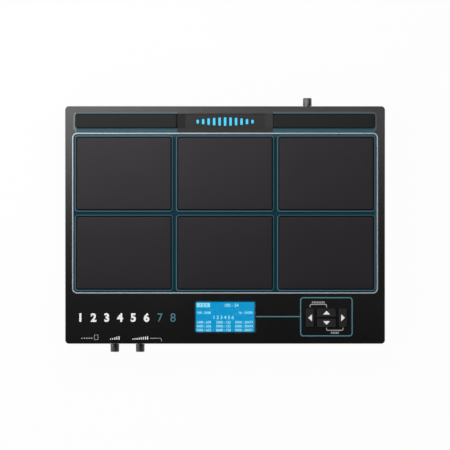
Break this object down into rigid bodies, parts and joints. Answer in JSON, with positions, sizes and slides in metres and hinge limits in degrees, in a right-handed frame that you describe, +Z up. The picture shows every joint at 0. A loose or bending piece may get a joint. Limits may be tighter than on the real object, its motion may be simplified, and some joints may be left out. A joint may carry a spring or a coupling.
{
  "type": "electronic percussion pad",
  "caption": "Low table-top electronic percussion pad: a grid of rubber playing pads with lit rims, rubber strips at the rear, a backlit display, arrow keys, fluted knobs and rows of sockets.",
  "frame": {"origin": "under the middle of the case, on the surface that its feet stand on", "axes": "+X to the player's right, +Y away from the player to the socket panel, +Z up"},
  "size_m": [0.35, 0.278, 0.0558],
  "materials": {
    "case_plastic": "satin black, fine moulded grain",
    "base_plastic": "matt black, moulded grain",
    "trim_silver": "satin bright ring",
    "light_guide": "teal translucent plastic, lit from its edge",
    "window_clear": "clear acrylic",
    "display_blue": "backlit blue display",
    "frame_metal": "pressed sheet, dark",
    "board_green": "circuit board",
    "board_white": "white lamp board",
    "switch_plastic": "black switch body",
    "socket_plastic": "black socket body",
    "socket_metal": "plated shell",
    "nut_metal": "plated nut",
    "knob_plastic": "black, fluted",
    "shaft_metal": "turned",
    "pad_rubber": "dark grey, fine grain",
    "plate_steel": "plain sheet",
    "cushion_foam": "dense foam",
    "key_plastic": "satin black",
    "foot_rubber": "black",
    "screw_black": "blackened",
    "screw_steel": "zinc plated",
    "insert_brass": "plain",
    "tray_plastic": "moulded",
    "ribbon_grey": "flat cable"
  },
  "bodies": {
    "housing": {"top_case": "case_plastic", "bottom_case": "base_plastic", "pad_trim_ring": "trim_silver", "pad_light_guide": "light_guide", "strip_light_guides": "light_guide", "display_window": "window_clear", "lcd_panel": "display_blue", "lcd_frame": "frame_metal", "control_board": "board_green", "tact_switches": "switch_plastic", "main_board": "board_green", "front_board": "board_green", "phones_jack": "socket_plastic", "trigger_jacks": "socket_plastic", "output_jacks": "socket_plastic", "jack_nuts": "nut_metal", "dc_inlet": "socket_plastic", "usb_port": "socket_metal", "midi_socket": "socket_plastic", "power_switch": "switch_plastic", "card_reader": "socket_metal", "pot_bodies": "frame_metal", "feet": "foot_rubber", "case_screws": "screw_black", "small_screws": "screw_steel", "mount_inserts": "insert_brass", "pad_tray": "tray_plastic", "light_boards": "board_white", "ribbon_cables": "ribbon_grey", "pad_cushions": "cushion_foam", "strip_cushions": "cushion_foam"},
    "playing_pad_1": {"pad_1": "pad_rubber", "pad_1_plate": "plate_steel"},
    "playing_pad_2": {"pad_2": "pad_rubber", "pad_2_plate": "plate_steel"},
    "playing_pad_3": {"pad_3": "pad_rubber", "pad_3_plate": "plate_steel"},
    "playing_pad_4": {"pad_4": "pad_rubber", "pad_4_plate": "plate_steel"},
    "playing_pad_5": {"pad_5": "pad_rubber", "pad_5_plate": "plate_steel"},
    "playing_pad_6": {"pad_6": "pad_rubber", "pad_6_plate": "plate_steel"},
    "left_strip_pad": {"left_strip": "pad_rubber", "left_strip_plate": "plate_steel"},
    "right_strip_pad": {"right_strip": "pad_rubber", "right_strip_plate": "plate_steel"},
    "left_key_cap": {"left_key": "key_plastic"},
    "up_key_cap": {"up_key": "key_plastic"},
    "down_key_cap": {"down_key": "key_plastic"},
    "right_key_cap": {"right_key": "key_plastic"},
    "main_control": {"main_knob": "knob_plastic", "main_shaft": "shaft_metal"},
    "phones_control": {"phones_knob": "knob_plastic", "phones_shaft": "shaft_metal"},
    "contrast_control": {"contrast_knob": "knob_plastic", "contrast_shaft": "shaft_metal"},
    "power_push": {"power_button": "knob_plastic"}
  },
  "joints": [
    {"name": "pad_1_strike", "type": "slide", "parent": "housing", "child": "playing_pad_1", "axis": [0, 0, -1], "range_m": [0, 0.0008], "stiffness_N_per_m": 20000, "springref_m": -0.0004, "deforming": ["pad_cushions"]},
    {"name": "pad_2_strike", "type": "slide", "parent": "housing", "child": "playing_pad_2", "axis": [0, 0, -1], "range_m": [0, 0.0008], "stiffness_N_per_m": 20000, "springref_m": -0.0004, "deforming": ["pad_cushions"]},
    {"name": "pad_3_strike", "type": "slide", "parent": "housing", "child": "playing_pad_3", "axis": [0, 0, -1], "range_m": [0, 0.0008], "stiffness_N_per_m": 20000, "springref_m": -0.0004, "deforming": ["pad_cushions"]},
    {"name": "pad_4_strike", "type": "slide", "parent": "housing", "child": "playing_pad_4", "axis": [0, 0, -1], "range_m": [0, 0.0008], "stiffness_N_per_m": 20000, "springref_m": -0.0004, "deforming": ["pad_cushions"]},
    {"name": "pad_5_strike", "type": "slide", "parent": "housing", "child": "playing_pad_5", "axis": [0, 0, -1], "range_m": [0, 0.0008], "stiffness_N_per_m": 20000, "springref_m": -0.0004, "deforming": ["pad_cushions"]},
    {"name": "pad_6_strike", "type": "slide", "parent": "housing", "child": "playing_pad_6", "axis": [0, 0, -1], "range_m": [0, 0.0008], "stiffness_N_per_m": 20000, "springref_m": -0.0004, "deforming": ["pad_cushions"]},
    {"name": "left_strip_strike", "type": "slide", "parent": "housing", "child": "left_strip_pad", "axis": [0, 0, -1], "range_m": [0, 0.0006], "stiffness_N_per_m": 8000, "springref_m": -0.0003, "deforming": ["strip_cushions"]},
    {"name": "right_strip_strike", "type": "slide", "parent": "housing", "child": "right_strip_pad", "axis": [0, 0, -1], "range_m": [0, 0.0006], "stiffness_N_per_m": 8000, "springref_m": -0.0003, "deforming": ["strip_cushions"]},
    {"name": "left_key_press", "type": "slide", "parent": "housing", "child": "left_key_cap", "axis": [0, 0, -1], "range_m": [0, 0.0005], "stiffness_N_per_m": 400, "springref_m": -0.001},
    {"name": "up_key_press", "type": "slide", "parent": "housing", "child": "up_key_cap", "axis": [0, 0, -1], "range_m": [0, 0.0005], "stiffness_N_per_m": 400, "springref_m": -0.001},
    {"name": "down_key_press", "type": "slide", "parent": "housing", "child": "down_key_cap", "axis": [0, 0, -1], "range_m": [0, 0.0005], "stiffness_N_per_m": 400, "springref_m": -0.001},
    {"name": "right_key_press", "type": "slide", "parent": "housing", "child": "right_key_cap", "axis": [0, 0, -1], "range_m": [0, 0.0005], "stiffness_N_per_m": 400, "springref_m": -0.001},
    {"name": "main_knob_turn", "type": "hinge", "parent": "housing", "child": "main_control", "pos_m": [-0.1207, -0.1348, 0.0215], "axis": [0, -1, 0], "range_deg": [-150, 150]},
    {"name": "phones_knob_turn", "type": "hinge", "parent": "housing", "child": "phones_control", "pos_m": [-0.0929, -0.1348, 0.0215], "axis": [0, -1, 0], "range_deg": [-150, 150]},
    {"name": "contrast_knob_turn", "type": "hinge", "parent": "housing", "child": "contrast_control", "pos_m": [0.09, 0.1348, 0.0215], "axis": [0, 1, 0], "range_deg": [-150, 150]},
    {"name": "power_button_press", "type": "slide", "parent": "housing", "child": "power_push", "axis": [0, -1, 0], "range_m": [0, 0.0025], "stiffness_N_per_m": 300, "springref_m": -0.002}
  ]
}
